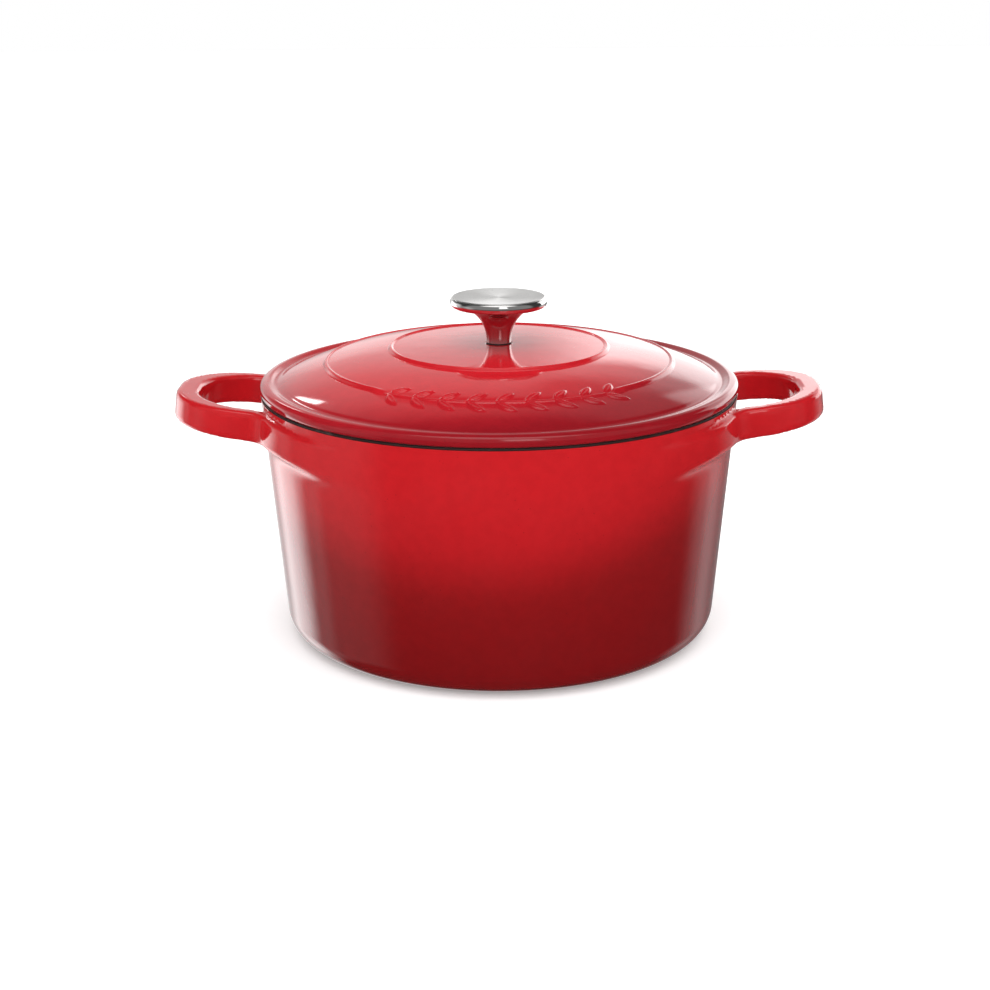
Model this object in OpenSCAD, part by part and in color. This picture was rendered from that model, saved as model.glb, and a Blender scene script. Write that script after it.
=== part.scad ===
// Enamelled cast iron dutch oven with a lift-off lid.
//
// Millimetres, +Z up. The origin is on the table under the middle of the pot, and the two
// loop handles point along +X and -X. The pot and the lid are iron castings under coats of
// enamel. The knob is a steel shell that one screw holds to the lid from below.

/* [Pot] */
// Outside diameter of the pot's mouth and of the lid
mouth_d = 280; // [250:2:310]
// Height of the rim, where the lid rests, above the table
rim_h = 146; // [125:1:170]
// Draft of the side wall, in degrees
wall_draft = 4.9; // [3:0.1:6]
// Thickness of the iron side wall
wall_t = 3.8; // [3.4:0.1:5]
// Thickness of the iron floor
floor_t = 4.6; // [4:0.1:6]
// Outside radius of the corner between wall and base
base_corner_r = 15.5; // [12:0.5:18]
// How far the ground foot ring stands below the base
foot_h = 1; // [0.8:0.1:1.5]
// Height of the bare band below the rim
rim_bare_h = 1.2; // [1:0.1:4]

/* [Handles] */
// How far the tip of a handle is from the middle of the pot
handle_reach = 190.6; // [186:0.2:196]
// Half the distance between the two arms of a handle, at their middles
handle_half_gap = 43.8; // [40:0.1:46]
// Thickness of the bar, seen from above
handle_t = 11; // [10:0.5:13]
// Height of the bar
handle_h = 17.4; // [14:0.2:18]
// Rise of the handle towards its tip, in degrees
handle_rise = 7; // [4:0.5:9]
// Distance of the middle of the bar below the rim, where it leaves the wall
handle_drop = 12.6; // [11:0.1:16]

/* [Lid] */
// Height of the lid from the rim to the seat of the knob
lid_h = 26; // [24:0.5:30]
// Thickness of the iron dome
lid_t = 3.8; // [3.4:0.1:4.4]
// Radius of the outer ring step
outer_step_r = 102; // [98:0.5:105]
// Radius of the inner ring step
inner_step_r = 64; // [58:0.5:70]
// Height of each ring step
step_h = 1.1; // [0.8:0.1:1.4]
// Number of leaf pairs in the cast sprig on the front of the lid
leaf_pairs = 9; // [5:1:11]
// How far the sprig stands out of the dome
relief_h = 1.2; // [0.8:0.1:1.6]

/* [Knob] */
// Diameter of the knob
knob_d = 56.8; // [50:0.2:62]
// Height of the knob above the lid
knob_h = 27.8; // [26:0.2:32]
// Diameter of the neck, where the knob stands on the lid
knob_neck_d = 14.4; // [14:0.1:16]

/* [Enamel] */
// Thickness of the fired enamel coats
enamel_t = 0.4; // [0.3:0.05:0.5]

/* [Hidden] */
$fn = 96;
arc_steps = 8;
past = 2; // how far a cutting shape runs past what it cuts

// Pot: the wall is a straight draft line, and the base corner is an arc tangent to it.
rim_r = mouth_d / 2 - 0.4;
bare_z = rim_h - rim_bare_h;
foot_r = 102;
foot_w = 8;
foot_gap = 0.05; // the enamel stops this far from the foot ring
inner_corner_r = 20;
floor_z = foot_h + floor_t;

// Handles: seen from above, each half of the bar is three tangent arcs, and its rounded
// edges are a stack of slabs.
bar_edge_r = 4;
bar_slabs = 3;
loop_r = 38.9;
root_r = 17.4;
root_turn = 66;
strap_r = 60;
strap_turn = 37;
loop_x = handle_reach - handle_t / 2 - loop_r;
loop_y = handle_half_gap - loop_r;
root_centre = [loop_x, handle_half_gap + root_r];
strap_centre = root_centre - (root_r + strap_r) * [sin(root_turn), cos(root_turn)];
tilt_x = 134;
handle_z = rim_h - handle_drop;

// Lid: heights are above the rim.
lid_r = mouth_d / 2;
skirt_t = 3;
skirt_drop = 4.5;
skirt_gap = 0.9;
skirt_r = rim_r - (wall_t + 2 * enamel_t) / cos(wall_draft) - skirt_gap
          - skirt_drop * tan(wall_draft);
flange_w = 13;
flange_h = 7.9;
roll_w = 7;
roll_z = 4;
edge_in = 0.7;
edge_bare = 0.5;
cove_w = 0.8;
cove_z = flange_h - 0.8;
step_w = 0.8;
bead_w = 3;
bead_h = 0.9;
bead_steps = 5;
outer_slope = 0.28;
inner_slope = 0.05;
outer_foot_z = lid_h - 10.7;
inner_foot_z = lid_h - 2.5;
slope_sag = 0.8;
shoulder_sag = 0.9;
crown_sag = 0.3;
boss_r = 15;
boss_t = 6.5;
boss_flare = 4;
seat_r = 10;
under_crown_z = lid_h - lid_t - 1.2;
under_shoulder_z = lid_h - lid_t - 2.6;
under_sag = 2.2;
under_cove_r = 3;
skirt_bare = 1; // the enamel stops this far above the skirt's lower edge
sprig_half_angle = 35;
sprig_r = outer_step_r + 1;
leaf_l = 14;
leaf_w = 5.4;
leaf_spread = 36;
leaf_out = 0.3; // a leaf's middle lies this share of its length away from the stem

// Knob: heights are above the lid's seat.
seat_z = rim_h + lid_h;
gasket_t = 0.6;
gasket_lip = 0.2;
shell_t = 1.2;
lip_r = 3.2;
lip_drop = 2.9;
lip_top = knob_h - 0.3;
flare_short = [0.9, 7.6]; // room between the flare's end and the knob's rim and top
flare_rise = 0.9;
cap_t = 2;
cap_rim = 1;
cap_dish = 0.8;
cap_edge = [0.3, 0.2];
insert_h = knob_h * 0.55;
insert_bore_h = knob_h * 0.5;
bore_r = 3.05;
screw_r = 3;
screw_root_r = 2.55;
screw_pitch = 1;
screw_turns = 11;
clearance_r = 3.4;
head_r = 6;
head_h = 4;
head_rim = 1;
socket_r = 2.3;
socket_h = 2.4;
thread_gap = 0.5;
washer_r = 8.6;
washer_t = 1.2;
spring_r = 5.6;
spring_t = 1.5;
spring_slit = 1.2;
slit_lean = 20;
boss_z = seat_z - boss_t;

// ---- outline helpers ----

// Points on an arc round a centre, from angle a to angle b.
function arc(centre, r, a, b, steps = arc_steps) =
    [for (i = [0 : steps]) centre + r * [cos(a + (b - a) * i / steps),
                                         sin(a + (b - a) * i / steps)]];

// Points on a quarter of an ellipse round a centre, from angle a to angle b.
function oval(centre, size, a, b) =
    [for (i = [0 : arc_steps]) centre + [size[0] * cos(a + (b - a) * i / arc_steps),
                                         size[1] * sin(a + (b - a) * i / arc_steps)]];

// Points on a shallow bow from p to q that rises by sag in its middle.
function bow(p, q, sag) =
    [for (i = [0 : arc_steps]) let (t = i / arc_steps)
        p + (q - p) * t + [0, 4 * sag * t * (1 - t)]];

function unit(v) = v / norm(v);
function left_of(v) = unit([-v[1], v[0]]);

// The outline moved to its left by g, its first and last points along their own segments.
function shifted(pts, g) =
    [for (i = [0 : len(pts) - 1])
        let (before = left_of(pts[max(i, 1)] - pts[max(i, 1) - 1]),
             after = left_of(pts[min(i + 1, len(pts) - 1)] - pts[min(i, len(pts) - 2)]),
             mid = unit(before + after))
        pts[i] + mid * g / max(mid * before, 0.5)];

// ---- pot ----

// Outline of a cup-shaped solid: flat base, corner arc and drafted wall, all moved in by g.
function cup_outline(top_r, base_z, corner_r, g, top_z) =
    let (centre_z = base_z + corner_r,
         centre_r = top_r - (rim_h - centre_z) * tan(wall_draft) - corner_r / cos(wall_draft))
    concat([[0, base_z + g]],
           arc([centre_r, centre_z], corner_r - g, -90, -wall_draft),
           [[top_r - (rim_h - top_z) * tan(wall_draft) - g / cos(wall_draft), top_z],
            [0, top_z]]);

module pot_body(g, top_z) {
    rotate_extrude() polygon(cup_outline(rim_r, foot_h, base_corner_r, g, top_z));
}

module pot_hollow(g, top_z) {
    rotate_extrude()
        polygon(cup_outline(rim_r - (enamel_t + wall_t) / cos(wall_draft), floor_z + enamel_t,
                            inner_corner_r, g, top_z));
}

module foot_ring(g) {
    difference() {
        cylinder(r = foot_r + foot_w / 2 + g, h = foot_h + past);
        translate([0, 0, -past]) cylinder(r = foot_r - foot_w / 2 - g, h = foot_h + 3 * past);
    }
}

// One side of the bar's +Y half, from the tip to the wall, at a distance from its middle line.
function bar_side(out) = concat(
    arc([loop_x, loop_y], loop_r + out, 0, 90),
    arc(root_centre, root_r - out, 270 - root_turn / 4, 270 - root_turn, 4),
    arc(strap_centre, strap_r + out, 90 - root_turn + strap_turn / 3,
        90 - root_turn + strap_turn, 2));

function mirrored(pts) = [for (p = pts) [p[0], -p[1]]];
function reversed(pts) = [for (i = [len(pts) - 1 : -1 : 0]) pts[i]];

// Plan of the whole bar, half_t to each side of its middle line.
function bar_plan(half_t) = concat(
    bar_side(half_t), reversed(bar_side(-half_t)),
    mirrored(bar_side(-half_t)), reversed(mirrored(bar_side(half_t))));

module handle(g) {
    edge = bar_edge_r - g;
    translate([tilt_x, 0, handle_z]) rotate([0, -handle_rise, 0]) translate([-tilt_x, 0, 0])
        for (i = [0 : bar_slabs - 1]) {
            turn = 90 * (i + 0.5) / bar_slabs;
            half_t = handle_t / 2 - g - edge * (1 - cos(turn));
            half_h = handle_h / 2 - g - edge * (1 - sin(turn));
            translate([0, 0, -half_h]) linear_extrude(2 * half_h) polygon(bar_plan(half_t));
        }
}

module handles(g) {
    handle(g);
    mirror([1, 0, 0]) handle(g);
}

module pot_casting() {
    color("dimgray")
    difference() {
        union() {
            pot_body(enamel_t, rim_h);
            handles(enamel_t);
            foot_ring(0);
        }
        pot_hollow(0, rim_h + past);
    }
}

module pot_exterior_enamel() {
    color("firebrick")
    difference() {
        union() {
            pot_body(0, bare_z);
            handles(0);
        }
        pot_body(enamel_t, rim_h);
        handles(enamel_t);
        foot_ring(foot_gap);
    }
}

module pot_interior_enamel() {
    color("cornsilk")
    difference() {
        pot_hollow(0, rim_h + past);
        pot_hollow(enamel_t, rim_h + past);
        translate([0, 0, bare_z]) cylinder(r = rim_r, h = rim_h);
    }
}

// ---- lid ----

// Raised bead along the edge of a ring step, on a dome that slopes there.
function bead(r, z, slope) =
    [for (i = [0 : bead_steps]) let (t = i / bead_steps)
        [r + bead_w * (0.1 - t), z + bead_w * slope * t + bead_h * sin(25 + 135 * t)]];

// Top of the lid from the flange's lower edge to the axis, heights above the rim.
lid_top = concat(
    [[lid_r - edge_in, 0]],
    oval([lid_r - roll_w, roll_z], [roll_w, flange_h - roll_z], 0, 90),
    [[lid_r - flange_w, cove_z]],
    bow([lid_r - flange_w - cove_w, cove_z + cove_w / 8],
        [outer_step_r + step_w, outer_foot_z], slope_sag),
    bead(outer_step_r, outer_foot_z + step_h, outer_slope),
    bow([outer_step_r - bead_w - step_w / 2, outer_foot_z + step_h + bead_w * outer_slope],
        [inner_step_r + step_w, inner_foot_z], shoulder_sag),
    bead(inner_step_r, inner_foot_z + step_h, inner_slope),
    bow([inner_step_r - bead_w - step_w / 2, inner_foot_z + step_h + bead_w * inner_slope],
        [seat_r, lid_h], crown_sag),
    [[0, lid_h]]);

module lid_solid(g) {
    outline = shifted(lid_top, g);
    translate([0, 0, rim_h]) rotate_extrude()
        polygon(concat([for (p = outline) [max(p[0], 0), max(p[1], 0)]], [[0, 0]]));
}

// Underside of the dome from the centre boss to the skirt, heights above the rim.
lid_under = concat(
    [[0, lid_h - boss_t], [boss_r, lid_h - boss_t]],
    [[boss_r + boss_flare, under_crown_z]],
    bow([inner_step_r, under_shoulder_z],
        [skirt_r - skirt_t - under_cove_r, flange_h - lid_t], under_sag),
    arc([skirt_r - skirt_t - under_cove_r, flange_h - lid_t - under_cove_r],
        under_cove_r, 90, 0),
    [[skirt_r - skirt_t, -skirt_drop - past]]);

module lid_hollow(g) {
    outline = shifted(lid_under, -g);
    translate([0, 0, rim_h]) rotate_extrude()
        polygon(concat([[0, -skirt_drop - past]], [for (p = outline) [max(p[0], 0), p[1]]]));
}

module leaf(g) {
    width = leaf_w - 2 * g;
    length = leaf_l - 2 * g;
    side_r = (length * length + width * width) / (4 * width);
    intersection() {
        translate([0, side_r - width / 2]) circle(r = side_r);
        translate([0, width / 2 - side_r]) circle(r = side_r);
    }
}

// Sprig of leaf pairs on a curved stem, standing out of the front of the dome.
module sprig(g) {
    intersection() {
        lid_solid(g - relief_h);
        translate([0, 0, rim_h + flange_h]) for (i = [0 : leaf_pairs - 1], side = [-1, 1])
            rotate([0, 0, -90 + sprig_half_angle * (2 * i / (leaf_pairs - 1) - 1)])
                translate([sprig_r + side * leaf_l * leaf_out, 0, 0])
                    rotate([0, 0, 90 - side * leaf_spread]) linear_extrude(lid_h) leaf(g);
    }
}

module lid_casting() {
    color("dimgray")
    difference() {
        union() {
            lid_solid(enamel_t);
            sprig(enamel_t);
            translate([0, 0, rim_h - skirt_drop]) cylinder(r = skirt_r, h = skirt_drop + past);
        }
        lid_hollow(0);
        translate([0, 0, boss_z - past]) cylinder(r = clearance_r, h = boss_t + 2 * past);
    }
}

module lid_exterior_enamel() {
    color("crimson")
    difference() {
        union() {
            lid_solid(0);
            sprig(0);
        }
        lid_solid(enamel_t);
        sprig(enamel_t);
        translate([0, 0, rim_h - past]) cylinder(r = lid_r + past, h = past + edge_bare);
        translate([0, 0, seat_z - past]) cylinder(r = clearance_r, h = 2 * past);
    }
}

module lid_interior_enamel() {
    color("cornsilk")
    difference() {
        lid_hollow(0);
        lid_hollow(enamel_t);
        translate([0, 0, rim_h - skirt_drop - 2 * past])
            cylinder(r = lid_r, h = 2 * past + skirt_bare);
        translate([0, 0, rim_h]) cylinder(r = seat_r, h = lid_h);
    }
}

// ---- knob ----

// Outside of the knob's shell from the neck to the top edge of its lip.
knob_r = knob_d / 2;
neck_r = knob_neck_d / 2;
flare = [knob_r - lip_r - neck_r, knob_h] - flare_short;
knob_outside = concat(
    [[neck_r, gasket_t]],
    oval([neck_r + flare[0], gasket_t + flare_rise], flare, 180, 90),
    arc([knob_r - lip_r, knob_h - lip_drop], lip_r, -75, 0),
    [[knob_r - shell_t / 3, lip_top]]);

module knob_stem() {
    color("lightgray")
    translate([0, 0, seat_z]) rotate_extrude()
        polygon(concat(knob_outside,
                       [[knob_r - shell_t, lip_top]],
                       [for (i = [len(knob_outside) - 2 : -1 : 1])
                           shifted(knob_outside, shell_t)[i]],
                       [[neck_r - shell_t, gasket_t]]));
}

module knob_cap() {
    cap_r = knob_r - shell_t;
    color("silver")
    translate([0, 0, seat_z + knob_h - cap_t]) rotate_extrude()
        polygon(concat([[0, 0], [cap_r, 0], [cap_r, cap_t - cap_edge[1]],
                        [cap_r - cap_edge[0], cap_t]],
                       [for (i = [arc_steps : -1 : 0]) let (t = i / arc_steps)
                           [(cap_r - cap_rim) * t, cap_t - cap_dish * (1 - t * t)]]));
}

module knob_insert() {
    color("gray")
    translate([0, 0, seat_z + gasket_t])
    difference() {
        cylinder(r = neck_r - shell_t, h = insert_h);
        translate([0, 0, -past]) cylinder(r = bore_r, h = insert_bore_h + past);
    }
}

module knob_gasket() {
    color("black")
    translate([0, 0, seat_z])
    difference() {
        cylinder(r = neck_r + gasket_lip, h = gasket_t);
        translate([0, 0, -past]) cylinder(r = clearance_r, h = gasket_t + 2 * past);
    }
}

module flat_washer() {
    color("lightsteelblue")
    translate([0, 0, boss_z - washer_t])
    difference() {
        cylinder(r = washer_r, h = washer_t);
        translate([0, 0, -past]) cylinder(r = clearance_r, h = washer_t + 2 * past);
    }
}

module spring_washer() {
    color("slategray")
    translate([0, 0, boss_z - washer_t - spring_t])
    difference() {
        cylinder(r = spring_r, h = spring_t);
        translate([0, 0, -past]) cylinder(r = clearance_r, h = spring_t + 2 * past);
        rotate([slit_lean, 0, 0]) translate([0, -spring_slit / 2, -spring_t])
            cube([spring_r + past, spring_slit, 4 * spring_t]);
    }
}

module knob_screw() {
    head_z = boss_z - washer_t - spring_t - head_h;
    thread_z = seat_z + gasket_t + thread_gap;
    color("gainsboro")
    difference() {
        union() {
            translate([0, 0, head_z]) rotate_extrude()
                polygon(concat([[0, 0]],
                               oval([0, head_h - head_rim], [head_r, head_h - head_rim], -75, 0),
                               [[head_r, head_h], [0, head_h]]));
            translate([0, 0, head_z + head_h])
                cylinder(r = screw_r, h = thread_z - head_z - head_h);
            for (i = [0 : screw_turns - 1]) translate([0, 0, thread_z + i * screw_pitch]) {
                cylinder(r1 = screw_root_r, r2 = screw_r, h = screw_pitch / 2);
                translate([0, 0, screw_pitch / 2])
                    cylinder(r1 = screw_r, r2 = screw_root_r, h = screw_pitch / 2);
            }
        }
        translate([0, 0, head_z - past]) cylinder(r = socket_r, h = past + socket_h, $fn = 6);
    }
}

pot_casting();
pot_exterior_enamel();
pot_interior_enamel();
lid_casting();
lid_exterior_enamel();
lid_interior_enamel();
knob_stem();
knob_cap();
knob_insert();
knob_gasket();
knob_screw();
spring_washer();
flat_washer();
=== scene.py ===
"""Looks of an enamelled cast iron dutch oven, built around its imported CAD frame.

Everything is in metres in the frame's own axes: the pot stands on z = 0, its two loop handles
point along +X and -X, and the front of the lid faces -Y.
"""

import math

import bpy
import numpy as np
import openvdb
from mathutils import Matrix, Vector


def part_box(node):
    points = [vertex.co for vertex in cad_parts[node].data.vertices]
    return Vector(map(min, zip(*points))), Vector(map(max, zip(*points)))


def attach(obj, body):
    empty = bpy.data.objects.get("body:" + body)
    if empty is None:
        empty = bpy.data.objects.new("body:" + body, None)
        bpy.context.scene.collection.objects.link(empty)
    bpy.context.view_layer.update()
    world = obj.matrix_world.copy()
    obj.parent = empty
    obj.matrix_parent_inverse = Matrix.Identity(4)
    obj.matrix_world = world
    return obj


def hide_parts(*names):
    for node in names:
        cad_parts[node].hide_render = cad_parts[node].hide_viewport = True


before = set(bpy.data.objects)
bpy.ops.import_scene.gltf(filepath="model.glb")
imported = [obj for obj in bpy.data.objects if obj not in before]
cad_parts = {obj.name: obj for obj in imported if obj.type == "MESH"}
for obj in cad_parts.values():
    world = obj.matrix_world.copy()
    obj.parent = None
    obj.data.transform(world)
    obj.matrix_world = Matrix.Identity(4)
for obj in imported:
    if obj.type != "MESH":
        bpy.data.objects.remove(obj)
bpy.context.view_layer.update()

MM = 0.001

# ---- sizes that follow from the frame ----


def low(node, axis):
    """Lowest coordinate of a CAD node along an axis."""
    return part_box(node)[0][axis]


def high(node, axis):
    """Highest coordinate of a CAD node along an axis."""
    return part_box(node)[1][axis]


# Pot
COAT = 0.4 * MM
FOOT_H = low("pot_exterior_enamel", 2)
BARE_Z = high("pot_interior_enamel", 2)
SKIRT_DROP = 4.5 * MM
RIM_Z = low("lid_casting", 2) + SKIRT_DROP
LID_R = high("lid_exterior_enamel", 1)
RIM_R = LID_R - 0.4 * MM
DRAFT = math.radians(4.9)
WALL_T = 3.8 * MM
CORNER_R = 15.5 * MM
INNER_CORNER_R = 20 * MM
FLOOR_Z = low("pot_interior_enamel", 2)
FOOT_R = 102 * MM
FOOT_W = 8 * MM
POT_VOXEL = 2.15 * MM
CORE_VOXEL = 2.4 * MM
FILLET = (1.5 * MM, 11.0 * MM)  # where handles meet the wall, at the rim and well below it
FILLET_FADE = 8 * MM

# Handles
LOOP_R = 38.9 * MM
ROOT_R = 17.4 * MM
ROOT_TURN = math.radians(66)
STRAP_R = 92 * MM
TIP_HALF_T = 6.9 * MM
ARM_HALF_T = 5.0 * MM
TIP_LOWER = 0.5 * MM  # how much the half height shrinks from the arms to the tip
HANDLE_HALF_H = 8.7 * MM
HANDLE_EDGE = 3.0 * MM
HANDLE_RISE = math.radians(7)
HALF_GAP = 43.8 * MM
HANDLE_Z = RIM_Z - 12.6 * MM
TILT_X = 134 * MM
LOOP_X = high("pot_exterior_enamel", 0) - 0.7 * MM - TIP_HALF_T - LOOP_R
LOOP_Y = HALF_GAP - LOOP_R
HANDLE_REACH = high("pot_exterior_enamel", 0) + 3 * MM  # edge of the grid round the handles

# Lid, with heights above the rim
LID_H = low("knob_gasket", 2) - RIM_Z
OUTER_STEP_R = 102 * MM
INNER_STEP_R = 64 * MM
STEP_H = 1.1 * MM
STEP_W = 2.0 * MM
STEP_W_AT_SPRIG = 11.0 * MM
STEP_LEAD = 0.6  # share of a step's width that lies outside its radius
OUTER_STEP_DROP = 10.6 * MM  # how far the dome has fallen below the knob's seat at each step
INNER_STEP_DROP = 3.6 * MM
BEAD_H = 0.85 * MM
BEAD_RISE = 1.8 * MM
BEAD_BACK = 1.45  # how far inside the step's edge the bead starts, in widths of its rise
SLOPE_AT_COVE = -0.44
SLOPE_AT_OUTER = -0.27
SLOPE_AT_INNER = -0.10
CROWN_EDGE_SLOPE = -0.045
FLANGE_W = 13 * MM
FLANGE_H = 7.9 * MM
FLANGE_TOP = 7.2 * MM
ROLL_W = 5.0 * MM
ROLL_Z = 3.4 * MM
COVE_R = LID_R - 9.9 * MM
COVE_Z = 5.7 * MM
COVE_END_SLOPE = -0.45
SLOPE_END_R = LID_R - 14.2 * MM
SEAT_R = 9 * MM
BORE_R = 3.4 * MM
IRON_T = 3.8 * MM
UNDER_T = IRON_T + COAT
BOSS_R = 15 * MM
BOSS_Z = LID_H - 6.5 * MM
BOSS_FLARE = 4 * MM
SKIRT_R = RIM_R - 5.9 * MM
SKIRT_T = 3 * MM
COVE_FILLET = 3 * MM

# Sprig of leaves on the front of the lid
SPRIG_HALF_ANGLE = math.radians(35)
SPRIG_FADE = 0.16
SPRIG_PAIRS = 9
SPRIG_R = OUTER_STEP_R + 1 * MM
LEAF_L = 14 * MM
LEAF_W = 5.4 * MM
LEAF_SPREAD = math.radians(36)
LEAF_OUT = 0.30  # a leaf's middle lies this share of its length away from the stem
RELIEF_H = 1.15 * MM
STEM_SHARE = 0.55
STEM_HALF_W = 0.9 * MM
STEM_PAST = 0.05  # radians that the stem runs on past the last leaves
STEM_FADE = 0.06
LEAF_EDGE = 0.42  # these two are shares of a leaf's half width
VEIN_HALF_W = 0.22
VEIN_DEPTH = 0.38

# Knob
SEAT_Z = low("knob_gasket", 2)
GASKET_T = high("knob_gasket", 2) - SEAT_Z
KNOB_R = high("knob_stem", 0)
KNOB_TOP = high("knob_cap", 2)
KNOB_SHELL = 1.2 * MM
NECK_R = high("knob_insert", 0) + KNOB_SHELL
LIP_R = 3.2 * MM
LIP_DROP = 3.0 * MM
CAP_R = KNOB_R - 1.4 * MM
CAP_RIM = 1.0 * MM
CAP_DISH = 0.8 * MM

# ---- outlines ----

STRAIGHT = 0.02  # a corner that turns less than this, in radians, isn't rounded
FILLET_SHARE = 0.8  # a fillet takes no more than this share of the edges beside it
ON_AXIS = 1e-7
GRADIENT_STEP = 0.02 * MM
SNAP_ROUNDS = 4


def arc(centre, radius, start, stop, steps):
    """Points on an arc in the (r, z) plane, its angles in degrees."""
    turn = np.radians(np.linspace(start, stop, steps + 1))
    return [
        (centre[0] + radius * math.cos(a), centre[1] + radius * math.sin(a))
        for a in turn
    ]


def outline(corners, degrees=9):
    """Rounds a list of corners (r, z, fillet radius) into points and exact outward normals.

    The list runs with the solid on its left. A corner with no radius is a point of a smooth
    curve, or the outline's end on the axis.
    """
    count = len(corners)
    pts = []
    nrm = []
    for i, corner in enumerate(corners):
        here = Vector(corner[:2])
        before = here - Vector(corners[max(i - 1, 0)][:2])
        after = Vector(corners[min(i + 1, count - 1)][:2]) - here
        if i == 0:
            before = after
        if i == count - 1:
            after = before
        d0 = before.normalized()
        d1 = after.normalized()
        radius = corner[2] if len(corner) > 2 else 0
        turn = math.atan2(d0.x * d1.y - d0.y * d1.x, d0.dot(d1))
        if radius <= 0 or abs(turn) < STRAIGHT:
            mid = (d0 + d1).normalized()
            pts.append((here.x, here.y))
            nrm.append((mid.y, -mid.x))
            continue
        room = FILLET_SHARE * min(before.length, after.length)
        reach = min(radius * math.tan(abs(turn) / 2), room)
        radius = reach / math.tan(abs(turn) / 2)
        side = 1 if turn > 0 else -1
        start = here - d0 * reach
        centre = start + Vector((-d0.y, d0.x)) * radius * side
        steps = max(2, math.ceil(math.degrees(abs(turn)) / degrees))
        for k in range(steps + 1):
            spoke = Matrix.Rotation(turn * k / steps, 2) @ (start - centre)
            pts.append(tuple(centre + spoke))
            out = spoke.normalized() * side
            nrm.append((out.x, out.y))
    return np.array(pts), np.array(nrm)


def make_mesh(name, verts, faces, normals=None):
    """A smooth mesh object, with exact vertex normals where they are given."""
    mesh = bpy.data.meshes.new(name)
    mesh.from_pydata(np.asarray(verts).tolist(), [], [list(map(int, f)) for f in faces])
    mesh.validate()
    mesh.shade_smooth()
    if normals is not None and len(mesh.vertices) == len(normals):
        mesh.normals_split_custom_set_from_vertices(np.asarray(normals).tolist())
    piece = bpy.data.objects.new(name, mesh)
    bpy.context.scene.collection.objects.link(piece)
    return piece


def lathe(pts, nrm, columns, closed=False, z0=0.0):
    """Turns an outline about the axis. Points on the axis become one vertex."""
    verts, normals, rows = [], [], []
    spokes = [
        (math.cos(2 * math.pi * k / columns), math.sin(2 * math.pi * k / columns))
        for k in range(columns)
    ]
    for (r, z), (nr, nz) in zip(pts, nrm):
        if r < ON_AXIS:
            rows.append([len(verts)] * columns)
            verts.append((0, 0, z + z0))
            normals.append((0, 0, 1 if nz > 0 else -1))
            continue
        rows.append(list(range(len(verts), len(verts) + columns)))
        verts += [(r * c, r * s, z + z0) for c, s in spokes]
        normals += [(nr * c, nr * s, nz) for c, s in spokes]
    faces = []
    pairs = list(zip(rows[:-1], rows[1:]))
    if closed:
        pairs.append((rows[-1], rows[0]))
    for lower, upper in pairs:
        for k in range(columns):
            n = (k + 1) % columns
            face = [lower[k], lower[n], upper[n], upper[k]]
            face = [v for i, v in enumerate(face) if v != face[i - 1]]
            if len(face) > 2:
                faces.append(face)
    return np.array(verts), faces, np.array(normals)


def joined(*parts):
    """Several (verts, faces, normals) as one."""
    verts, faces, normals, base = [], [], [], 0
    for v, f, n in parts:
        verts.append(v)
        normals.append(n)
        faces += [[i + base for i in face] for face in f]
        base += len(v)
    return np.vstack(verts), faces, np.vstack(normals)


def surface_of(field, lowest, highest, voxel):
    """The zero surface of a signed distance field, as quads whose points lie exactly on it."""
    lowest = np.array(lowest)
    counts = np.ceil((np.array(highest) - lowest) / voxel).astype(int) + 1
    axes = [lowest[i] + voxel * np.arange(counts[i]) for i in range(3)]
    values = np.empty(counts, np.float32)
    for i, x in enumerate(axes[0]):
        y, z = np.meshgrid(axes[1], axes[2], indexing="ij")
        pts = np.stack([np.full(y.size, x), y.ravel(), z.ravel()], 1)
        values[i] = field(pts).reshape(y.shape)
    grid = openvdb.FloatGrid(background=float(3 * voxel))
    grid.copyFromArray(values)
    pts, quads = grid.convertToQuads(0.0)
    pts = np.asarray(pts, float)
    quads = np.asarray(quads, int)
    inside = ((pts > 0.6) & (pts < counts - 1.6)).all(1)
    quads = quads[inside[quads].all(1)]
    pts, quads = compact(pts, quads)
    pts = lowest + pts * voxel
    for _ in range(SNAP_ROUNDS):
        slope = gradient(field, pts)
        pts = pts - slope * (field(pts) / np.maximum((slope**2).sum(1), 0.25))[:, None]
    normals = gradient(field, pts)
    normals /= np.linalg.norm(normals, axis=1)[:, None]
    a, b, c = pts[quads[:, 0]], pts[quads[:, 1]], pts[quads[:, 2]]
    facing = (np.cross(b - a, c - a) * normals[quads[:, 0]]).sum(1)
    if np.median(np.sign(facing)) < 0:
        quads = quads[:, ::-1]
    return pts, quads, normals


def compact(pts, quads, *more):
    """Leaves out the points that no quad uses."""
    used = np.unique(quads)
    renumber = np.full(len(pts), -1)
    renumber[used] = np.arange(len(used))
    return (pts[used], renumber[quads], *(m[used] for m in more))


def gradient(field, pts):
    """Central difference gradient of a field."""
    out = np.empty_like(pts)
    for axis in range(3):
        move = np.zeros(3)
        move[axis] = GRADIENT_STEP
        out[:, axis] = (field(pts + move) - field(pts - move)) / (2 * GRADIENT_STEP)
    return out


def boundary_edges(faces):
    """Directed edges that only one face has."""
    starts = faces.ravel()
    ends = np.roll(faces, -1, axis=1).ravel()
    keep = starts != ends
    pairs = set(zip(starts[keep].tolist(), ends[keep].tolist()))
    return [p for p in pairs if (p[1], p[0]) not in pairs]


def smooth_step(x):
    x = np.clip(x, 0, 1)
    return x * x * (3 - 2 * x)


# ---- pot ----


def wall_r(z):
    """Outside radius of the pot's wall at a height."""
    return RIM_R - (RIM_Z - z) * math.tan(DRAFT)


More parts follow.
